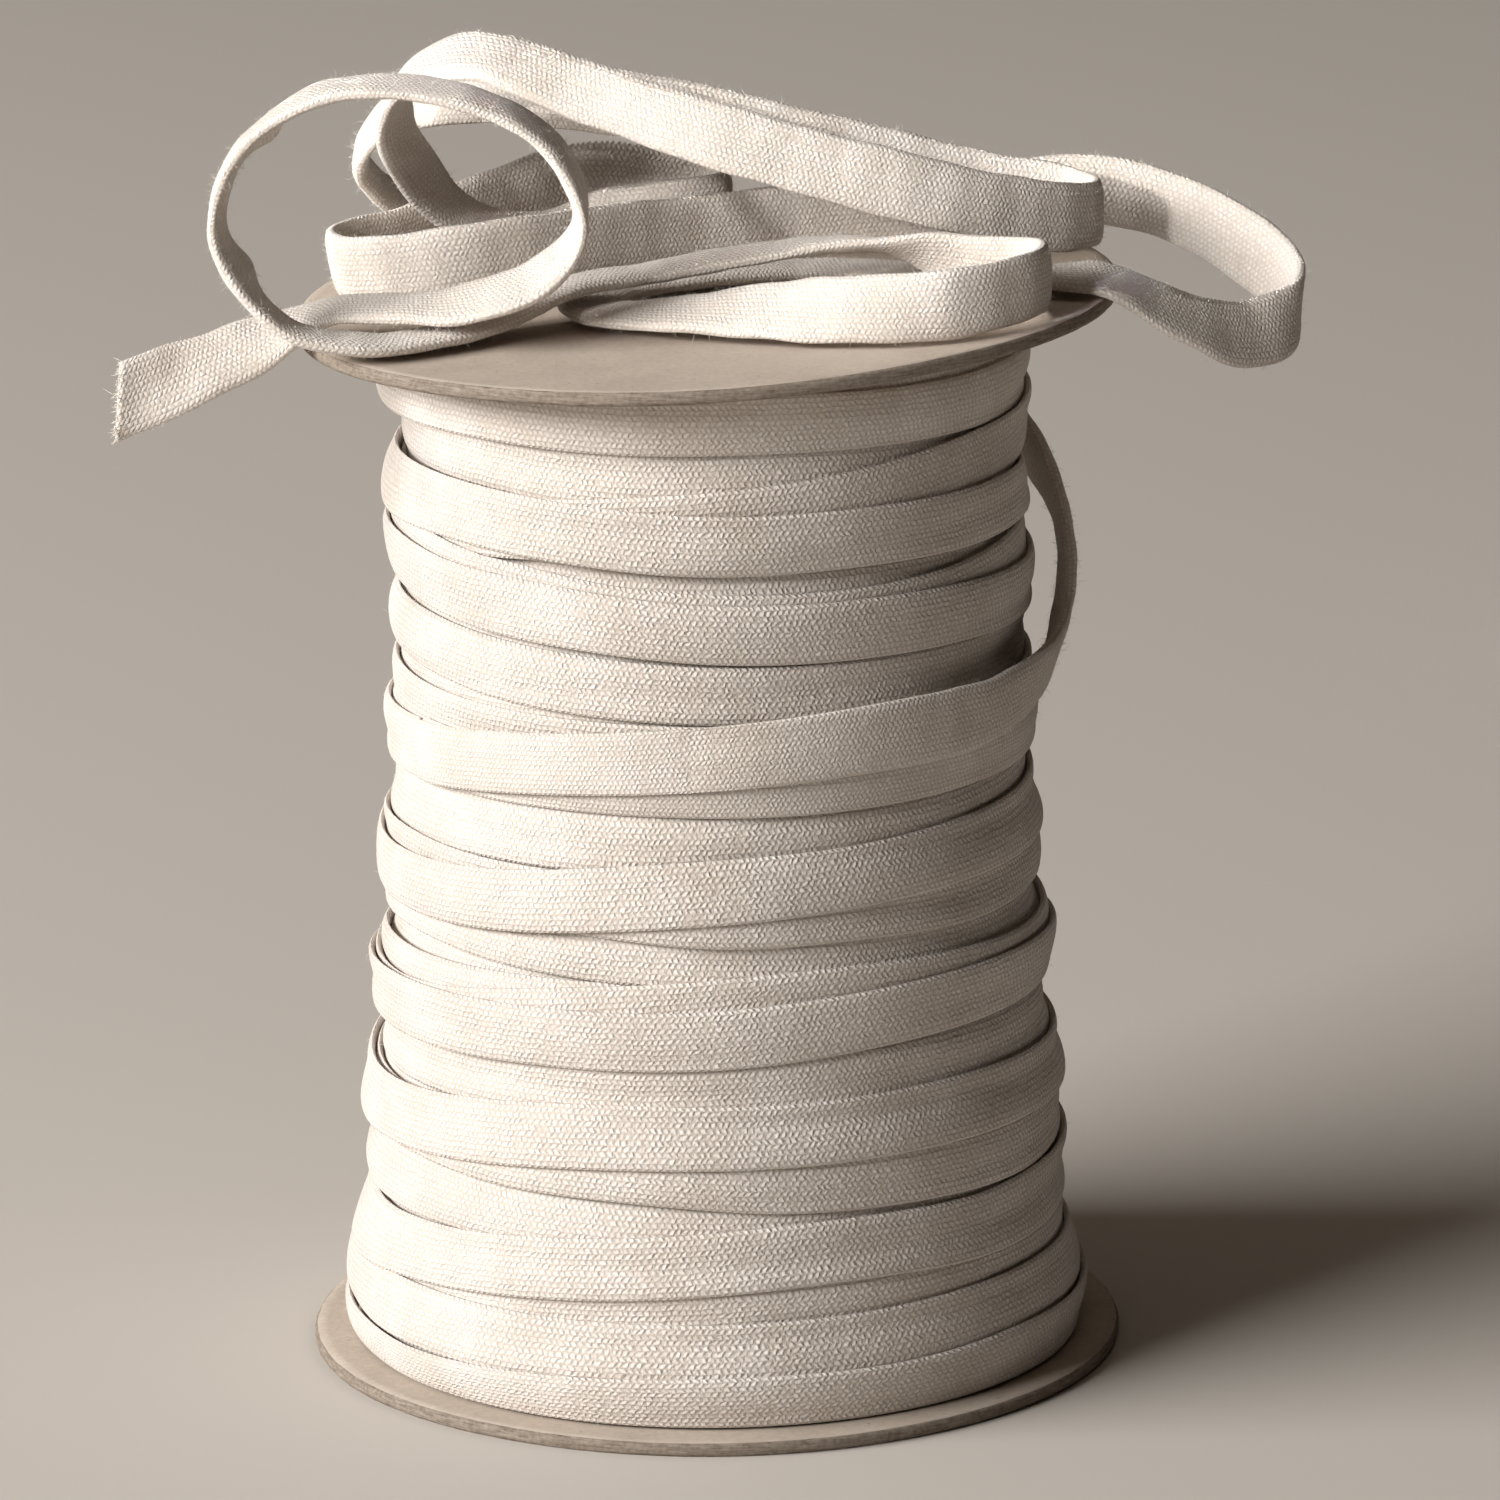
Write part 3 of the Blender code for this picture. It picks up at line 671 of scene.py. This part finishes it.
def wind_cord():
    """Lays every turn in the order of winding. Returns them in layers, the slack turn's stretches
    and the winding's surface."""
    chance = np.random.default_rng(11)
    levels = np.arange(CELLS) * CELL
    surface = np.repeat((winding_radius(levels) - START_DEPTH)[None, :], COLUMNS, axis=0)
    angles = np.arange(COLUMNS) / COLUMNS * 2.0 * pi
    stitch_count = round(2.0 * pi * MEAN_RADIUS / WOUND_STITCH)

    def lay(turns, outline):
        """Lays whole turns one after the other."""
        laid = []
        for turn in turns:
            middles = turn_heights(turn, angles, chance)
            wider = chance.normal(0.0, WIDTH_WAVER)
            uneven = WIDTH_WAVER * np.sin(4.0 * angles + chance.uniform(0.0, 2.0 * pi))
            widths = WOUND_WIDTH * (1.0 + wider + uneven)
            middles, widths = squeeze_in(middles, widths, angles)
            heights, radii, _ = lay_turn(surface, angles, middles, widths, outline)
            stitches = np.linspace(0.0, stitch_count, COLUMNS + 1) + round(chance.uniform(0, 50))
            laid.append(Laid(angles, heights, radii, outline, stitches))
        return laid

    under = lay([Turn(*(BOTTOM_TURN + UNDER_PITCH * i + tilt for tilt in UNDER_TILTS))
                 for i in range(UNDER_TURNS)], UNDER_SECTION)
    first = lay(FIRST_TURNS, WOUND_SECTION)
    middle = lay(MIDDLE_TURNS, WOUND_SECTION)
    slack = lay_slack_turn(surface)
    last = lay(LAST_TURNS, WOUND_SECTION)
    return {"under_turns": under, "first_turns": first, "last_turns": middle + last}, slack, surface


def lay_slack_turn(surface):
    """The slack turn's angles, heights and radii, laid half a round at a time so that it can lie on
    itself."""
    step = 2.0 * pi / COLUMNS
    angles = np.arange(np.ceil(radians(SLACK_TURN[0].angle) / step),
                       np.floor(radians(SLACK_TURN[-1].angle) / step) + 1) * step
    heights = np.interp(np.degrees(angles), [point.angle for point in SLACK_TURN],
                        [point.height for point in SLACK_TURN]) * MM
    heights = np.convolve(np.pad(heights, 4, mode="edge"), np.ones(9) / 9.0, "valid")
    levels, radii, before = [], [], None
    for start in range(0, len(angles), COLUMNS // 2):
        part = slice(start, start + COLUMNS // 2)
        widths = np.full(len(angles[part]), WOUND_WIDTH)
        level, radius, before = lay_turn(surface, angles[part], heights[part], widths, LOOSE_SECTION,
                                         before, closed=False)
        levels.append(level)
        radii.append(radius)
    return angles, np.concatenate(levels), np.concatenate(radii)


def make_turns(name, layer, smoothed, cotton):
    """The turns of one layer of the winding as one piece."""
    bm = bmesh.new()
    for laid in layer:
        rings = to_points(laid.angles, laid.heights, press(smoothed, laid.angles, laid.heights, laid.radii))
        sweep(bm, rings, braid_places(laid.outline, WOUND_ROWS), laid.stitches, closed=True)
    return link_piece(name, bm, [cotton])


# Loose cord: points between two rows of its route, step between sections, length over which the
# slack turn lifts off, length from there to the seam between the two pieces, rings that are smoothed
# at the join, and length of the softer cut end

ROUTE_STEPS = 12
SECTION_STEP = 0.7 * MM
LIFT_LENGTH = 40.0 * MM
SEAM_LENGTH = 30.0 * MM
JOIN_RINGS = 16
END_LENGTH = 14.0 * MM

# Spots where one edge of the ring's cord curls over: place, length and height
CURLED_SPOTS = (
    ((-0.0508, -0.0180, 0.1500), 3.0 * MM, 2.0 * MM),
    ((-0.0552, -0.0200, 0.1345), 2.8 * MM, 1.7 * MM),
    ((-0.0400, -0.0180, 0.1552), 3.0 * MM, 0.6 * MM),
)


def smooth_route(rows, per_span):
    """Points and across directions on a centripetal Catmull-Rom curve through the route's rows."""
    points = np.array([[row.x, row.y, row.z] for row in rows])
    across = np.array([[row.across_x, row.across_y, row.across_z] for row in rows])
    across /= np.linalg.norm(across, axis=1)[:, None]
    ends = np.vstack([2.0 * points[0] - points[1], points, 2.0 * points[-1] - points[-2]])
    steps = np.linalg.norm(np.diff(ends, axis=0), axis=1) ** 0.5
    knots = np.concatenate([[0.0], np.cumsum(steps)])

    def blend(a, b, start, end, at):
        """Mixes two points by where a knot value lies between two others."""
        return a * (end - at) / (end - start) + b * (at - start) / (end - start)

    middle, sides = [], []
    for span in range(len(points) - 1):
        p0, p1, p2, p3 = ends[span:span + 4]
        t0, t1, t2, t3 = knots[span:span + 4]
        last = span == len(points) - 2
        for step in range(per_span + int(last)):
            share = step / per_span
            at = t1 + (t2 - t1) * share
            a1 = blend(p0, p1, t0, t1, at)
            a2 = blend(p1, p2, t1, t2, at)
            a3 = blend(p2, p3, t2, t3, at)
            b1 = blend(a1, a2, t0, t2, at)
            b2 = blend(a2, a3, t1, t3, at)
            middle.append(blend(b1, b2, t1, t2, at))
            turned = ease(share)
            sides.append(across[span] * (1.0 - turned) + across[span + 1] * turned)
    return np.array(middle), np.array(sides)


def smooth_rows(values, weights):
    """Smooths each column of values along its rows, with the ends held."""
    half = len(weights) // 2
    return np.stack([np.convolve(np.pad(values[:, axis], half, mode="edge"), weights, "valid")
                     for axis in range(values.shape[1])], axis=1)


def even_sections(middle, sides):
    """Sections at an even step along the route, each across direction square to it."""
    lengths = np.concatenate([[0.0], np.cumsum(np.linalg.norm(np.diff(middle, axis=0), axis=1))])
    at = np.linspace(0.0, lengths[-1], int(round(lengths[-1] / SECTION_STEP)) + 1)
    middle = np.stack([np.interp(at, lengths, middle[:, axis]) for axis in range(3)], axis=1)
    sides = np.stack([np.interp(at, lengths, sides[:, axis]) for axis in range(3)], axis=1)
    sides = smooth_rows(sides, bell(2.0, 5))
    along = np.gradient(middle, axis=0)
    along /= np.linalg.norm(along, axis=1)[:, None]
    sides -= np.sum(sides * along, axis=1)[:, None] * along
    sides /= np.linalg.norm(sides, axis=1)[:, None]
    return at, middle, sides, along


def loose_rings(at, middle, sides, along):
    """Points of the loose cord's sections: soft in width and thickness, and cut aslant at the end."""
    faces_out = np.cross(sides, along)
    length = at[-1]
    near_end = ease((at - length + END_LENGTH) / END_LENGTH)
    # slow wavers along the cord, in radians a metre
    width_waver = 0.02 * np.sin(at * 310.0) + 0.015 * np.sin(at * 730.0 + 1.0)
    thickness_waver = 0.06 * np.sin(at * 420.0 + 2.0) + 0.05 * np.sin(at * 1130.0)
    width = CORD_WIDTH * (1.0 + width_waver + 0.06 * near_end)
    thick = CORD_THICKNESS * (1.0 + thickness_waver - 0.15 * near_end)
    share = LOOSE_SECTION[:, 0]
    side = LOOSE_SECTION[:, 1] * half_thickness(share)
    bow = 0.12 * MM * np.sin(at * 190.0 + 0.7)[:, None] * (1.0 - share[None, :] ** 2)
    rings = (middle[:, None, :] + sides[:, None, :] * (share[None, :] * width[:, None] / 2.0)[:, :, None]
             + faces_out[:, None, :] * (side[None, :] * thick[:, None] / 2.0 + bow)[:, :, None])
    for spot, spread, height in CURLED_SPOTS:
        curl = height * np.exp(-(np.linalg.norm(middle - np.array(spot), axis=1) / spread) ** 2)
        lip = np.clip(share, 0.0, 1.0) ** 2
        rings += faces_out[:, None, :] * (curl[:, None] * lip[None, :])[:, :, None]
    slant = -CUT_SLANT * share[None, :] * near_end[:, None]
    return rings + along[:, None, :] * slant[:, :, None]


def arc_lengths(rings):
    """Length along a tube's middle line at each ring."""
    middle = rings.mean(axis=1)
    return np.concatenate([[0.0], np.cumsum(np.linalg.norm(np.diff(middle, axis=0), axis=1))])


def join_slack(angles, heights, radii, loose):
    """The slack turn's rings, which lift off the winding to meet the loose cord's first ring."""
    first = loose[0]
    reach = np.hypot(first[:, 0], first[:, 1])
    travelled = (angles[-1] - angles) * reach.mean()
    lift = ease(1.0 - travelled / LIFT_LENGTH)[:, None]
    radii = radii + lift * (reach - radii[-1])[None, :]
    heights = heights + lift * (first[:, 2] - heights[-1])[None, :]
    rings = np.concatenate([to_points(angles, heights, radii)[:-1], loose])
    join = len(angles) - 1
    window = slice(join - JOIN_RINGS, join + JOIN_RINGS)
    flat = rings[window].reshape(2 * JOIN_RINGS, -1)
    fade = ease(1.0 - np.abs(np.arange(-JOIN_RINGS, JOIN_RINGS)) / JOIN_RINGS)[:, None]
    flat = flat * (1.0 - fade) + smooth_rows(flat, bell(3.0, 8)) * fade
    rings[window] = flat.reshape(2 * JOIN_RINGS, -1, 3)
    return rings, join


def share_normals(first, second, ring):
    """Gives two pieces that meet in a ring the same normals there."""
    def place_key(vert):
        """A vertex's place in thousandths of a millimetre."""
        return tuple(round(c / (0.001 * MM)) for c in vert.co)

    meeting = {}
    for piece in (first, second):
        for vert in piece.data.vertices:
            if np.abs(ring - np.array(vert.co)).sum(axis=1).min() < 0.001 * MM:
                meeting.setdefault(place_key(vert), Vector((0.0, 0.0, 0.0)))
                meeting[place_key(vert)] += vert.normal
    for piece in (first, second):
        own = Vector((0.0, 0.0, 0.0))
        normals = [meeting.get(place_key(vert), own).normalized() for vert in piece.data.vertices]
        piece.data.normals_split_custom_set_from_vertices(normals)


def make_loose_cord(cotton, slack, smoothed):
    """The slack turn and the loose end, one after the other along one cord. Returns both pieces, the
    loose end's middle line and length, and its last ring."""
    at, middle, sides, along = even_sections(*smooth_route(LOOSE_ROUTE, ROUTE_STEPS))
    angles, heights, radii = slack
    radii = press(smoothed, angles, heights, radii)
    rings, join = join_slack(angles, heights, radii, loose_rings(at, middle, sides, along))
    start = int(SEAM_LENGTH / SECTION_STEP)
    seam = join + start
    rows = braid_places(LOOSE_SECTION, LOOSE_ROWS)
    stitches = arc_lengths(rings) / LOOSE_STITCH
    pieces = []
    for name, part in (("slack_turn", slice(0, seam + 1)), ("loose_cord_braid", slice(seam, None))):
        bm = bmesh.new()
        sweep(bm, rings[part], rows, stitches[part], closed=False)
        if name == "loose_cord_braid":
            far = rings[-1].mean(axis=0)
            tip = [edge for edge in bm.edges
                   if edge.is_boundary and (edge.verts[0].co - Vector(far)).length < CORD_WIDTH]
            bmesh.ops.holes_fill(bm, edges=tip, sides=0)
        pieces.append(link_piece(name, bm, [cotton]))
    share_normals(*pieces, rings[seam])
    return pieces[0], pieces[1], middle[start:], float(at[-1] - at[start]), rings[-1]


# Fluff

def spots_on(pieces, count, chance):
    """Points spread evenly over the faces of pieces, and which way the faces point."""
    corners = []
    for piece in pieces:
        mesh = piece.data
        mesh.calc_loop_triangles()
        points = np.zeros(len(mesh.vertices) * 3)
        mesh.vertices.foreach_get("co", points)
        triangles = np.zeros(len(mesh.loop_triangles) * 3, dtype=int)
        mesh.loop_triangles.foreach_get("vertices", triangles)
        corners.append(points.reshape(-1, 3)[triangles].reshape(-1, 3, 3))
    corners = np.concatenate(corners)
    normals = np.cross(corners[:, 1] - corners[:, 0], corners[:, 2] - corners[:, 0])
    areas = np.linalg.norm(normals, axis=1)
    picks = chance.choice(len(areas), size=count, p=areas / areas.sum())
    first, second = chance.random((2, count))
    turned = first + second > 1.0
    first, second = np.where(turned, 1.0 - first, first), np.where(turned, 1.0 - second, second)
    chosen = corners[picks]
    spots = (chosen[:, 0] + first[:, None] * (chosen[:, 1] - chosen[:, 0])
             + second[:, None] * (chosen[:, 2] - chosen[:, 0]))
    return spots, normals[picks] / areas[picks][:, None]


def make_fibres(name, roots, ways, lengths, radius, chance, material):
    """Fine tapered fibres, each three-sided and bent once, as one mesh."""
    count = len(roots)
    helper = chance.normal(size=(count, 3))
    side = np.cross(ways, helper)
    side /= np.linalg.norm(side, axis=1)[:, None]
    other = np.cross(ways, side)
    bend = (side * chance.normal(0.0, FIBRE_BEND, (count, 1))
            + other * chance.normal(0.0, FIBRE_BEND, (count, 1)))
    verts = np.zeros((count, 7, 3))
    for corner in range(3):
        out = side * cos(2.0 * pi * corner / 3.0) + other * sin(2.0 * pi * corner / 3.0)
        verts[:, corner] = roots + out * radius
        verts[:, 3 + corner] = roots + ways * lengths[:, None] * 0.5 + out * radius * FIBRE_TAPER
    verts[:, 6] = roots + (ways + bend) * lengths[:, None]
    walls = [(c, (c + 1) % 3, 3 + (c + 1) % 3, 3 + c) for c in range(3)]
    tips = [(3 + c, 3 + (c + 1) % 3, 6) for c in range(3)]
    faces = [tuple(7 * i + v for v in face) for i in range(count) for face in walls + tips]
    mesh = bpy.data.meshes.new(name)
    mesh.from_pydata(verts.reshape(-1, 3).tolist(), [], faces)
    return link_mesh(mesh, [material])


def leaning(normals, chance, lean):
    """Directions that lean away from the normals by chance."""
    ways = normals + chance.normal(0.0, lean, normals.shape)
    return ways / np.linalg.norm(ways, axis=1)[:, None]


def fluff_lengths(kind, count, chance):
    """Lengths of fibres or yarns, most of them short."""
    return chance.gamma(kind.shape, kind.scale, count) + kind.shortest


def make_fluff(turns, surface, smoothed, loose, cut_ring, cut_way, material):
    """Fibres on the outside of the winding, on the loose cord and at its cut end."""
    chance = np.random.default_rng(23)
    spots, normals = spots_on(turns, FIBRE_SPOTS, chance)
    angles = np.arctan2(spots[:, 0], -spots[:, 1])
    reach = np.hypot(spots[:, 0], spots[:, 1])
    outside = (winding_radius(spots[:, 2]) + swellings(angles, spots[:, 2])
               + (look_up(surface, angles, spots[:, 2]) - look_up(smoothed, angles, spots[:, 2])) * PRESSED)
    keep = np.flatnonzero(reach > outside - FIBRE_DEPTH)[:WINDING_FIBRES]
    lengths = fluff_lengths(FIBRES, len(keep), chance)
    ways = leaning(normals[keep], chance, FIBRES.lean)
    on_turns = make_fibres("winding_fluff", spots[keep], ways, lengths, FIBRES.radius, chance, material)

    spots, normals = spots_on(loose, LOOSE_FIBRES, chance)
    lengths = fluff_lengths(FIBRES, len(spots), chance)
    ways = leaning(normals, chance, FIBRES.lean)
    on_loose = make_fibres("loose_cord_fluff", spots, ways, lengths, FIBRES.radius, chance, material)

    picks = chance.integers(0, len(cut_ring), (CUT_YARNS, 2))
    mix = chance.random((CUT_YARNS, 1))
    roots = cut_ring[picks[:, 0]] * mix + cut_ring[picks[:, 1]] * (1.0 - mix) - cut_way * YARN_ROOT_DEPTH
    ways = leaning(np.repeat(cut_way[None, :], CUT_YARNS, axis=0), chance, YARNS.lean)
    lengths = fluff_lengths(YARNS, CUT_YARNS, chance)
    at_cut = make_fibres("cut_end_yarns", roots, ways, lengths, YARNS.radius, chance, material)
    return on_turns, on_loose, at_cut


# Discs: the rim is a little oval, its cut edge is rubbed round and chipped in layers, and the sheet
# is slightly warped

DISC_SIDES = 240
FACE_INSETS = (0.03, 0.12, 0.25, 0.3)
EDGE_CUTS = 5
RIM_START = 0.96
RUBBED_ROUND = 0.3 * MM
CHIP_SIZE = 0.022 * MM
CHIP_WAVES = (17, 41, 67, 97)
CHIP_RISE = 5200.0
EDGE_MATERIAL_START = 0.985


def make_disc(name, middle, slope, lean, warp, seed, materials):
    """A greyboard disc, its middle at a height, turned by a slope to the right and a lean."""
    chance = np.random.default_rng(seed)
    bm = bmesh.new()
    bmesh.ops.create_cone(bm, cap_ends=True, segments=DISC_SIDES, radius1=DISC_RADIUS, radius2=DISC_RADIUS,
                          depth=BOARD_THICKNESS)
    for share in FACE_INSETS:
        caps = [face for face in bm.faces if len(face.verts) > 4]
        bmesh.ops.inset_region(bm, faces=caps, thickness=DISC_RADIUS * share)
    uprights = [edge for edge in bm.edges if abs(edge.verts[0].co.z - edge.verts[1].co.z) > 0.5 * MM]
    bmesh.ops.subdivide_edges(bm, edges=uprights, cuts=EDGE_CUTS)
    phases = chance.uniform(0.0, 2.0 * pi, 8)
    half = BOARD_THICKNESS / 2.0
    for vert in bm.verts:
        x, y, z = vert.co
        angle = atan2(y, x)
        reach = (x * x + y * y) ** 0.5 / DISC_RADIUS
        rim = max(0.0, (reach - RIM_START) / (1.0 - RIM_START))
        chips = sum(sin(waves * angle + phases[i] + z * CHIP_RISE * (i + 1))
                    for i, waves in enumerate(CHIP_WAVES))
        oval = 0.15 * MM * sin(2.0 * angle + phases[4]) + 0.1 * MM * sin(5.0 * angle + phases[5])
        rounding = RUBBED_ROUND * (abs(z) / half) ** 4
        growth = (oval + chips * CHIP_SIZE - rounding) * rim
        vert.co.x *= 1.0 + growth / DISC_RADIUS
        vert.co.y *= 1.0 + growth / DISC_RADIUS
        bow = 1.0 + sin(2.0 * angle + phases[6]) + 0.4 * sin(5.0 * angle + phases[7])
        vert.co.z += warp * bow * reach ** 3
    for face in bm.faces:
        reach = face.calc_center_median().to_2d().length
        on_edge = reach > DISC_RADIUS * EDGE_MATERIAL_START and abs(face.normal.z) < 0.75
        face.material_index = int(on_edge)
    turn = Matrix.Rotation(-slope, 4, "Y") @ Matrix.Rotation(lean, 4, "X")
    bm.transform(Matrix.Translation((0.0, 0.0, middle)) @ turn)
    bmesh.ops.recalc_face_normals(bm, faces=bm.faces[:])
    return link_piece(name, bm, materials)


# Studio: a large key light at the left, a weak warm one above, and a narrow one on the loops

DAYLIGHT = (1.0, 0.985, 0.965)
WARM_LIGHT = (1.0, 0.86, 0.73)
FLOOR_HALF_WIDTH = 6.0
WORLD_STRENGTH = 0.014

Lamp = namedtuple("Lamp", "name place target width height power colour spread")
LAMPS = (
    Lamp("key", (-2.4, -1.07, 1.25), (0.0, 0.0, 0.1), 2.4, 0.88, 158.0, DAYLIGHT, 180.0),
    Lamp("top", (0.0, 0.5, 1.8), (0.0, 0.2, 0.0), 1.6, 1.6, 3.0, WARM_LIGHT, 180.0),
    Lamp("loops", (-0.45, -0.72, 0.42), (0.0, -0.01, 0.153), 0.15, 0.03, 0.013, DAYLIGHT, 5.0),
)


def make_floor():
    """A plain pale matt floor."""
    material, shader = new_material("studio_floor")
    shader.inputs["Base Color"].default_value = linear("#c9c2ba")
    shader.inputs["Roughness"].default_value = 0.9
    bm = bmesh.new()
    bmesh.ops.create_grid(bm, x_segments=1, y_segments=1, size=FLOOR_HALF_WIDTH)
    link_piece("studio_floor", bm, [material])


def light_studio():
    """Lamps and a dim warm world."""
    world = bpy.data.worlds.new("studio")
    world.use_nodes = True
    background = world.node_tree.nodes["Background"]
    background.inputs["Color"].default_value = linear("#f2cfae")
    background.inputs["Strength"].default_value = WORLD_STRENGTH
    bpy.context.scene.world = world
    for lamp in LAMPS:
        area = bpy.data.lights.new(lamp.name, "AREA")
        area.shape = "RECTANGLE"
        area.size = lamp.width
        area.size_y = lamp.height
        area.energy = lamp.power
        area.spread = radians(lamp.spread)
        area.color = lamp.colour
        light = bpy.data.objects.new(lamp.name, area)
        light.location = lamp.place
        aim = Vector(lamp.target) - Vector(lamp.place)
        light.rotation_euler = aim.to_track_quat("-Z", "Y").to_euler()
        bpy.context.scene.collection.objects.link(light)
    bpy.context.scene.view_settings.view_transform = "Standard"


def main():
    """Makes the pieces, hangs them on one body, hides the model's parts that they replace, and sets up the
    studio.
    """
    place_camera()
    cotton = braided_cotton("braided_cotton_wound", WOUND_RELIEF)
    slack_cotton = braided_cotton("braided_cotton_slack", SLACK_RELIEF)
    board = [greyboard_face(), greyboard_cut_edge()]
    layers, slack, surface = wind_cord()
    smoothed = smoothed_surface(surface)
    turns = [make_turns(name, layer, smoothed, cotton) for name, layer in layers.items()]
    slack_turn, cord, path, length, cut_ring = make_loose_cord(slack_cotton, slack, smoothed)
    cut_way = path[-1] - path[-3]
    cut_way /= np.linalg.norm(cut_way)
    fluff = make_fluff(turns, surface, smoothed, [slack_turn, cord], cut_ring, cut_way, cotton_fluff())
    lower = make_disc("lower_board_disc", BOARD_THICKNESS / 2.0, 0.0, 0.0, 0.03 * MM, 3, board)
    upper = make_disc("upper_board_disc", SPOOL_HEIGHT - BOARD_THICKNESS / 2.0, UPPER_DISC_SLOPE,
                      UPPER_DISC_LEAN, 0.2 * MM, 5, board)
    stands_for = [(piece, ("wound_cord",), "cotton_cord") for piece in turns]
    stands_for += [(slack_turn, ("wound_cord", "loose_cord"), "cotton_cord"),
                   (cord, ("loose_cord",), "cotton_cord"),
                   (fluff[0], ("wound_cord",), "cotton_cord"),
                   (fluff[1], ("loose_cord",), "cotton_cord"),
                   (fluff[2], ("loose_cord",), "cotton_cord"),
                   (lower, ("lower_flange",), "greyboard"),
                   (upper, ("upper_flange",), "greyboard")]
    for piece, nodes, slot in stands_for:
        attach(piece, "root")
        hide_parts(*nodes)
    make_floor()
    light_studio()


main()
